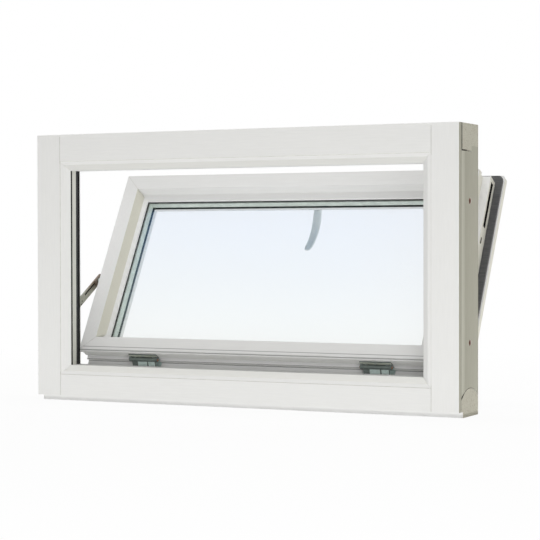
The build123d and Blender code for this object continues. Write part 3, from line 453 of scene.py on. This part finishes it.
# Black for painted shade in grooves, clearances, the knuckle's edge and the stay's slot; the stay's
# rivets are drawn in it too
SHADE = plastic("groove_dark", (0.012, 0.012, 0.012), 0.75, 0.1)
GLASS = clear_glass("glass_clear")
GLASS_RIM = glass_rim("glass_rim")


def paint(name, *materials):
    """Gives a node its materials, with every face on the first."""
    mesh = nodes[name].data
    mesh.materials.clear()
    for material in materials:
        mesh.materials.append(material)
    for face in mesh.polygons:
        face.material_index = 0


def repaint(name, material, chosen):
    """Puts the chosen faces of a node on another of its materials."""
    mesh = nodes[name].data
    index = list(mesh.materials).index(material)
    for face in mesh.polygons:
        if chosen(face.center, face.normal):
            face.material_index = index


HEAD_AND_SILL = ("frame_head", "frame_sill")
JAMBS = ("frame_jamb_left", "frame_jamb_right")
RING = ("sash_ring_top", "sash_ring_bottom", "sash_ring_left", "sash_ring_right")
LONG_PIECES = HEAD_AND_SILL + ("sash_rail_top", "sash_rail_bottom", "sash_ring_top", "sash_ring_bottom",
                               "bead_top", "bead_bottom")
SHADE_LINED_PIECES = {"sash_ring_bottom": PAINT_RING_LOW, "sash_rail_bottom": PAINT_RAIL_LOW}
for name in nodes:
    if name.startswith("gasket") or name == "frame_seal_outer":
        paint(name, BLACK_RUBBER)
    elif name == "frame_seal_inner":
        paint(name, REVEAL_RUBBER)
    elif name == "sash_seal":
        paint(name, GREY_RUBBER)
    elif name == "glass_spacer":
        paint(name, SPACER)
    elif name.startswith("glass_"):
        paint(name, GLASS, GLASS_RIM)
    elif name.startswith("handle"):
        paint(name, HANDLE_METAL)
    elif name.startswith("fixing_sleeve"):
        paint(name, SLEEVE)
    elif name.startswith("stay_slider"):
        paint(name, SLIDER)
    elif name.startswith("stay_arm"):
        paint(name, STAY_METAL, SHADE)
    elif name.startswith("stay"):
        paint(name, PALE_ZINC)
    elif name.startswith("hinge"):
        paint(name, HINGE_METAL, PALE_ZINC, PIN_METAL, LEAF_METAL, SHADE)
    elif name in LONG_PIECES:
        paint(name, SHADE_LINED_PIECES.get(name, PAINT_X), END_GRAIN, SHADE, JOINT, PAINT_SIDE_SHADE, PAINT_BEVEL,
              PAINT_LIGHTENED)
    elif name in JAMBS:
        paint(name, PAINT_Z, PRIMER, SHADE, JOINT, PAINT_REVEAL)
    else:
        paint(name, PAINT_Z, END_GRAIN, SHADE, JOINT, PAINT_SIDE_SHADE, PAINT_SPLAY)

# Cut ends of the head and sill, and the jambs' sides that the wall covers
for name in HEAD_AND_SILL:
    repaint(name, END_GRAIN, lambda at, n: abs(n.x) > 0.95 and abs(at.x) > SIDE_X - 0.0015)
for name in JAMBS:
    repaint(name, PRIMER, lambda at, n: abs(n.x) > 0.8 and abs(at.x) > SIDE_X - 0.0025)

# The sash's outer sides are painted a little darker and creamier, and the ring's splays at both sides
# darker, as painted shade. The undersides of ring and rail and the sill's bevel are painted lighter as
# painted light, and the head's bevel darker as painted shade.
SASH_SIDE_X = 0.42
for name in nodes:
    if name.startswith(("sash_stile", "sash_rail", "sash_ring")):
        repaint(name, PAINT_SIDE_SHADE, lambda at, n: abs(n.x) > 0.9 and abs(at.x) > SASH_SIDE_X)
for name in ("sash_ring_left", "sash_ring_right"):
    repaint(name, PAINT_SPLAY, lambda at, n: 0.3 < abs(n.x) < 0.98 and 1.0 < sash_t(at) < 14.9)
for name in SHADE_LINED_PIECES:
    repaint(name, PAINT_LIGHTENED, lambda at, n: n.dot(S_DIR) < -0.7 and sash_s(at) < 2.0)
repaint("frame_head", PAINT_BEVEL, lambda at, n: n.z < -0.3 and n.y < -0.3)
repaint("frame_sill", PAINT_LIGHTENED, lambda at, n: n.z > 0.3 and n.y < -0.3)


TENON_X = 0.4305         # beyond this the head and sill go on as tenons through the jambs


def in_tenon_gap(at, n):
    """Walls of the clearances round the tenons, short of the frame's back, top and underside."""
    along = abs(n.x) < 0.5 and abs(at.x) > TENON_X
    return along and -0.0415 < at.y < 0.0545 and 0.0125 < at.z < 0.5795


# Clearances round the tenons are painted black where their ends show, as painted shade
for name in HEAD_AND_SILL:
    repaint(name, SHADE, in_tenon_gap)


def from_edge(at, name):
    """Distance in from the frame member's outer edge, in millimetres."""
    if name == "frame_head":
        return FRAME_HEIGHT - at.z * 1000
    if name == "frame_sill":
        return at.z * 1000
    return HALF_WIDTH - abs(at.x) * 1000


# The step of the moulding and the fine grooves along the joints are painted a little darker as painted
# shade, and so are the ring's mitres
GROOVE_DEPTH = 0.00095
for name in HEAD_AND_SILL + JAMBS:
    repaint(name, JOINT, lambda at, n: 58.0 < from_edge(at, name) < 58.8
            and 0 < depth_in(at) < GROOVE_DEPTH)
    repaint(name, JOINT, lambda at, n: 431.4 < abs(at.x) * 1000 < 432.6
            and 0.00005 < depth_in(at) < GROOVE_DEPTH)
for name in RING:
    repaint(name, JOINT, lambda at, n: 0.05 < sash_t(at) < 0.75 and abs(n.dot(T_DIR)) < 0.9
            or 0.6 < sash_t(at) < 0.8)


def on_reveal(at, n):
    """The jambs' faces towards the opening."""
    return abs(n.x) > 0.9 and abs(abs(at.x) - REVEAL_X) < 0.0002


# The jambs' reveal is painted darker and creamier as painted shade. The walls of its seals' grooves are
# painted black as painted shade, and so is the reveal behind the inner seal, for that seal's shade.
SEAL_GROOVE_WALLS = (0.012, 0.0175, 0.0325, 0.043)
BEHIND_SEALS_Y = -0.0115
for name in JAMBS:
    repaint(name, PAINT_REVEAL, on_reveal)
    for depth in SEAL_GROOVE_WALLS:
        repaint(name, SHADE, lambda at, n: abs(n.y) > 0.9 and abs(depth_in(at) - depth) < 0.0002
                and 0.4112 < abs(at.x) < 0.4175)
    repaint(name, SHADE, lambda at, n: on_reveal(at, n) and at.y > BEHIND_SEALS_Y)

# The panes' rims are green
for name in ("glass_outer", "glass_inner"):
    repaint(name, GLASS_RIM, lambda at, n: abs(n.dot(T_DIR)) < 0.5)

# The lock groove in the sash's sides is painted black inside, as painted shade
for name in ("sash_stile_left", "sash_stile_right", "sash_rail_top"):
    repaint(name, SHADE, lambda at, n: 0.436 < abs(at.x) < 0.4458 and 36.5 < sash_t(at) < 49.5)

# Hinges: the leaf under the sash, the pale knuckle with a black edge beside it as painted shade, and the
# pins' ends
HINGE_X = 276            # mm from the window's middle to each hinge's
KNUCKLE_T = 30.2         # mm in through the sash
KNUCKLE_SHADE_T = 33.5
KNUCKLE_HALF = 0.0349    # metres
PIN_HALF = 0.03505
for side, sign in SIDES:
    middle = sign * HINGE_X / 1000
    leaf = "hinge_sash_leaf_" + side
    repaint(leaf, LEAF_METAL, lambda at, n: n.dot(S_DIR) < -0.9 and sash_s(at) > -5.0
            and sash_t(at) < KNUCKLE_T)
    repaint(leaf, PALE_ZINC, lambda at, n: sash_t(at) > KNUCKLE_T and abs(at.x - middle) < KNUCKLE_HALF)
    repaint(leaf, SHADE, lambda at, n: KNUCKLE_T < sash_t(at) < KNUCKLE_SHADE_T
            and abs(at.x - middle) < KNUCKLE_HALF)
    for name in (leaf, "hinge_frame_leaf_" + side):
        repaint(name, PIN_METAL, lambda at, n: abs(at.x - middle) > PIN_HALF)

# The stay's arm runs from a pin on the jamb to one on the sash
STAY_PIN = on_frame(0, 96.2, 211.0)
STAY_RUN = on_sash(0, 17.0, 179.3) - STAY_PIN
STAY_REACH = STAY_RUN.length
STAY_ALONG = STAY_RUN / STAY_REACH
STAY_ACROSS = Vector((0, -STAY_ALONG.z, STAY_ALONG.y))


def in_track(at, n):
    """The slot that the slider runs in."""
    from_pin = Vector((0, at.y, at.z)) - STAY_PIN
    lengthwise = 0.031 < from_pin.dot(STAY_ALONG) < STAY_REACH + 0.003
    return lengthwise and abs(from_pin.dot(STAY_ACROSS)) < 0.00176 and abs(at.x) > 0.44675


# The slot's walls are painted black, as painted shade in the slot
for name in ("stay_arm_left", "stay_arm_right"):
    repaint(name, SHADE, in_track)


def skin(shape, loops):
    """Faces from each closed loop of vertices to the next."""
    for low, high in zip(loops, loops[1:]):
        for i in range(len(low)):
            j = (i + 1) % len(low)
            shape.faces.new((low[i], low[j], high[j], high[i]))


def new_piece(name, shape, *materials):
    """Makes the object of a shape, with its faces on the first material."""
    mesh = bpy.data.meshes.new(name)
    shape.to_mesh(mesh)
    shape.free()
    for material in materials:
        mesh.materials.append(material)
    piece = bpy.data.objects.new(name, mesh)
    scene.collection.objects.link(piece)
    return piece


# Levels of a head as shares: of the radius, of the radius for its lobes, and of the rise
HEAD_LEVELS = ((1.0, 0.0, -0.3), (1.0, 0.0, 0.35), (0.9, 0.0, 0.85), (0.72, 0.0, 1.0))
RECESS_LEVELS = ((0.47, 0.07, 1.04), (0.43, 0.07, 0.6), (0.40, 0.07, -0.6))
DOME_LEVELS = ((0.3, 0.0, 1.15),)
HEAD_SIDES = 36
LOBES = 6


def screw(name, place, normal, radius, rise, material=SCREW_METAL, recess=True):
    """Low screw head with a six-lobed recess for the driver, or a rivet's plain domed head."""
    turn = normal.to_track_quat("Z", "Y").to_matrix()
    shape = bmesh.new()
    loops = []
    for size, lobe, level in HEAD_LEVELS + (RECESS_LEVELS if recess else DOME_LEVELS):
        loop = []
        for i in range(HEAD_SIDES):
            angle = 2 * math.pi * i / HEAD_SIDES
            r = radius * (size + lobe * math.cos(LOBES * angle))
            at = Vector((r * math.cos(angle), r * math.sin(angle), rise * level))
            loop.append(shape.verts.new(place + turn @ at))
        loops.append(loop)
    skin(shape, loops)
    shape.faces.new(loops[-1])
    piece = new_piece(name, shape, material)
    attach(piece, "root")


# The hinge's link rises from its pin in the sill. Each of its two windows has a thin plate.
LINK_PIN = on_frame(0, 97, 68)
LINK_TILT = math.radians(104.3)
LINK_UP = Vector((0, math.cos(LINK_TILT), math.sin(LINK_TILT)))
LINK_OUT = Vector((0, -math.sin(LINK_TILT), math.cos(LINK_TILT)))
PLATE_LOW, PLATE_HIGH = 5.4, 17.4                        # mm up the link
PLATE_LEVELS = ((0.0, 1.2), (0.0, 1.7), (0.4, 2.0))      # inset and rise, in mm


def link_window(name, left, right):
    """Thin pale plate with eased edges over a window of the link."""
    shape = bmesh.new()
    loops = []
    for inset, rise in PLATE_LEVELS:
        x0, x1, low, high = left + inset, right - inset, PLATE_LOW + inset, PLATE_HIGH - inset
        loop = []
        for x, k in ((x0, low), (x1, low), (x1, high), (x0, high)):
            on_link = LINK_PIN + Vector((x / 1000, 0, 0)) + LINK_UP * (k / 1000)
            loop.append(shape.verts.new(on_link + LINK_OUT * (rise / 1000)))
        loops.append(loop)
    skin(shape, loops)
    shape.faces.new(loops[-1])
    shape.faces.new(list(reversed(loops[0])))
    piece = new_piece(name, shape, PALE_ZINC)
    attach(piece, "root")


def swept(shape, sections, count=28):
    """Skin over closed loops; each section gives its middle, two half axes and a squareness."""
    loops = []
    for middle, across, along, square in sections:
        loop = []
        for i in range(count):
            angle = 2 * math.pi * i / count
            c, s = math.cos(angle), math.sin(angle)
            u = math.copysign(abs(c) ** square, c)
            v = math.copysign(abs(s) ** square, s)
            loop.append(shape.verts.new(middle + across * u + along * v))
        loops.append(loop)
    skin(shape, loops)
    shape.faces.new(list(reversed(loops[0])))
    shape.faces.new(loops[-1])


# Lever: a round neck and a flattened, gently curved grip that thins towards its tip
SPINDLE_X, SPINDLE_S = 6, 428
NECK = ((91.2, 8.0), (92.5, 7.6), (104, 7.0), (118, 7.1), (125, 7.6), (131, 7.4), (134, 6.0),
        (135.3, 3.4))                                    # t and radius, in mm
# The grip's sections, in mm: s and x from the spindle, width, thickness and t
GRIP = ((7.2, 0.0, 6, 4.0, 129.6), (5.6, 0.0, 11, 7.0, 129.6), (2, 0.2, 15.4, 8.6, 129.6),
        (-8, 1.0, 17.0, 9.4, 129.8), (-20, 2.3, 17.6, 9.8, 130.2), (-34, 3.8, 17.8, 10.0, 130.6),
        (-48, 4.7, 17.6, 9.8, 130.8), (-62, 4.7, 17.2, 9.6, 130.7), (-76, 3.7, 16.6, 9.4, 130.4),
        (-88, 2.0, 16.0, 9.2, 129.9), (-97, 0.1, 15.4, 9.0, 129.4), (-103, -1.5, 14.8, 8.6, 129.0),
        (-107, -2.6, 13.0, 7.8, 128.7), (-109.5, -3.2, 9.0, 6.0, 128.5))
HALF_MM = 2000           # turns a width in mm into half of it in metres
HALF_MM_WIDER = 1820     # the same, a tenth wider
ROUND, SQUARISH = 1.0, 0.82
SHADED_SIDE_NORMAL_X = 0.75     # faces that look further to +X than this are painted darker, as painted shade on the grip's side

lever_shape = bmesh.new()
swept(lever_shape, [(on_sash(SPINDLE_X, t, SPINDLE_S), X_DIR * (r / 1000), S_DIR * (r / 1000), ROUND)
                    for t, r in NECK])
swept(lever_shape, [(on_sash(SPINDLE_X + x, t, SPINDLE_S + s), X_DIR * (wide / HALF_MM_WIDER),
                     T_DIR * (thick / HALF_MM), SQUARISH) for s, x, wide, thick, t in GRIP])
lever = new_piece("lever_grip", lever_shape, HANDLE_METAL, HANDLE_SHADED_SIDE)
for face in lever.data.polygons:
    face.use_smooth = True
    # Painted shade on the grip's side that looks to +X
    if face.normal.x > SHADED_SIDE_NORMAL_X:
        face.material_index = 1
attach(lever, "root")
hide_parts("handle_lever")

LINK_WINDOWS = ((-14.5, 8.5), (11.5, 28.0))              # x from the hinge's middle, in mm
SASH_LEAF_SCREWS = ((-23.3, 24.5), (0, 20.0), (23.3, 24.5))      # x from the hinge's middle, and t
FRAME_LEAF_SCREWS = (-19.5, 19.5)                        # x from the hinge's middle
STAY_PLATE_SCREWS = (204.0, 218.0)                       # height
STAY_BRACKET_SCREWS = (163.3, 195.3)                     # s
STAY_RIVETS = ((111.7, 213.9), (107.5, 206.6))           # depth and height
# Radius and rise of the heads, in metres
LEAF_HEAD = (0.0034, 0.0005)
PLATE_HEAD = (0.0026, 0.0003)
BRACKET_HEAD = (0.0028, 0.0005)
RIVET_HEAD = (0.0015, 0.0002)

for side, sign in SIDES:
    middle = sign * HINGE_X
    inward = Vector((-sign, 0, 0))
    for i, (left, right) in enumerate(LINK_WINDOWS, 1):
        link_window(f"link_window_{side}_{i}", middle + left, middle + right)
    for i, (x, t) in enumerate(SASH_LEAF_SCREWS, 1):
        screw(f"screw_sash_leaf_{side}_{i}", on_sash(middle + x, t, -4.5), -S_DIR, *LEAF_HEAD)
    for i, x in enumerate(FRAME_LEAF_SCREWS, 1):
        screw(f"screw_frame_leaf_{side}_{i}", on_frame(middle + x, 84, 60.5), Vector((0, 0, 1)),
              *LEAF_HEAD)
    for i, z in enumerate(STAY_PLATE_SCREWS, 1):
        screw(f"screw_stay_plate_{side}_{i}", on_frame(sign * 450, 76.5, z), inward, *PLATE_HEAD)
    for i, s in enumerate(STAY_BRACKET_SCREWS, 1):
        screw(f"screw_stay_bracket_{side}_{i}", on_sash(sign * 430.5, 24.5, s), -inward, *BRACKET_HEAD)
    for i, (depth, z) in enumerate(STAY_RIVETS, 1):
        screw(f"rivet_stay_arm_{side}_{i}", on_frame(sign * 446.7, depth, z), inward, *RIVET_HEAD,
              SHADE, recess=False)


# Camera, from the fit to the frame's corners in the photo
PICTURE_WIDTH = 540.0    # pixels
FOCAL_LENGTH = 1765.32   # pixels
SENSOR_WIDTH = 36.0      # mm
CAMERA_PLACE = (1.68930, -3.29909, 0.35263)
YAW = math.radians(26.40)
PITCH = math.radians(-1.01)
ROLL = math.radians(-0.10)

camera_data = bpy.data.cameras.new("camera")
camera_data.sensor_width = SENSOR_WIDTH
camera_data.sensor_fit = "HORIZONTAL"
camera_data.lens = FOCAL_LENGTH * SENSOR_WIDTH / PICTURE_WIDTH
camera_data.clip_end = 60
camera = bpy.data.objects.new("camera", camera_data)
scene.collection.objects.link(camera)
forward = Vector((-math.sin(YAW) * math.cos(PITCH), math.cos(YAW) * math.cos(PITCH), math.sin(PITCH)))
level_right = Vector((math.cos(YAW), math.sin(YAW), 0))
level_up = level_right.cross(forward)
right = math.cos(ROLL) * level_right + math.sin(ROLL) * level_up
up = -math.sin(ROLL) * level_right + math.cos(ROLL) * level_up
turn = Matrix((right, up, -forward)).transposed()
camera.matrix_world = Matrix.Translation(CAMERA_PLACE) @ turn.to_4x4()
scene.camera = camera


def floor_material(name):
    """Pale floor. What looks at it sees white, with a soft trace of the object's shadow near by."""
    m = Nodes(name)
    at = m.add("ShaderNodeTexCoord").outputs["Object"]
    reach = m.add("ShaderNodeVectorMath", operation="LENGTH")
    m.link(at, reach.inputs[0])
    grain = m.noise(at, 14.0, 3.0, 0.5)
    # Near the object a small share of the floor's own shade shows
    share = m.map(reach.outputs["Value"], 0.5, 2.0, 0.94, 1.0)
    diffuse = m.add("ShaderNodeBsdfDiffuse")
    m.link(m.ramp(grain, [(0.3, (0.88, 0.88, 0.88)), (0.7, (0.91, 0.91, 0.91))]), diffuse.inputs["Color"])
    m.blend(m.maths("MULTIPLY", m.seen(), share), diffuse, m.add("ShaderNodeEmission"))
    return m.owner


floor_shape = bmesh.new()
bmesh.ops.create_grid(floor_shape, x_segments=24, y_segments=24, size=14)
floor = new_piece("floor", floor_shape, floor_material("studio_floor"))

# Soft surroundings that light the object, and plain white where the camera looks past it
AMBIENT = 0.43
sky = Nodes("world", world=True)
scene.world = sky.owner
direction = sky.add("ShaderNodeSeparateXYZ")
sky.link(sky.add("ShaderNodeTexCoord").outputs["Generated"], direction.inputs["Vector"])
# Less light, and warmer, from the side of the cut ends
side_share = sky.map(direction.outputs["X"], 0.1, 0.85, 0.0, 1.0)
ambient = sky.add("ShaderNodeBackground")
ambient.inputs["Strength"].default_value = AMBIENT
sky.link(sky.mix(side_share, (1.0, 0.998, 0.96), (0.40, 0.38, 0.30)), ambient.inputs["Color"])
white = sky.add("ShaderNodeBackground")
white.inputs["Color"].default_value = (1, 1, 1, 1)
white.inputs["Strength"].default_value = 1.0
sky.blend(sky.seen(), ambient, white)


def lamp(name, place, target, size, power, colour=(1, 1, 1)):
    """Soft rectangular lamp in metres and watts, which the camera and the metal don't show."""
    data = bpy.data.lights.new(name, "AREA")
    data.shape = "RECTANGLE"
    data.size, data.size_y = size
    data.energy = power
    data.color = colour
    lamp_object = bpy.data.objects.new(name, data)
    scene.collection.objects.link(lamp_object)
    lamp_object.location = place
    aim = Vector(target) - Vector(place)
    lamp_object.rotation_euler = aim.to_track_quat("-Z", "Y").to_euler()
    lamp_object.visible_camera = False
    lamp_object.visible_glossy = False


MIDDLE = (0, 0, 0.3)
# The main light, from the camera's side
lamp("key", (4.35, -6.5, 1.35), MIDDLE, (6.0, 4.2), 85)
# A low band of light under it, which reaches the faces that look down
lamp("low", (4.35, -6.5, 0.35), MIDDLE, (6.0, 0.6), 131)
# What a white table throws back up
lamp("below", (0, -0.6, 0.002), (0, -0.6, 1), (4.4, 4.4), 31, (1.0, 1.0, 0.97))
# From indoors, on the backs of the frame and the sash
lamp("behind", (0.6, 2.8, 1.8), MIDDLE, (2.4, 1.6), 18)
# From overhead, on the upper faces
lamp("top", (0, 0.25, 3.2), (0, 0.15, 0.3), (2.2, 1.0), 35)

scene.view_settings.view_transform = "Standard"
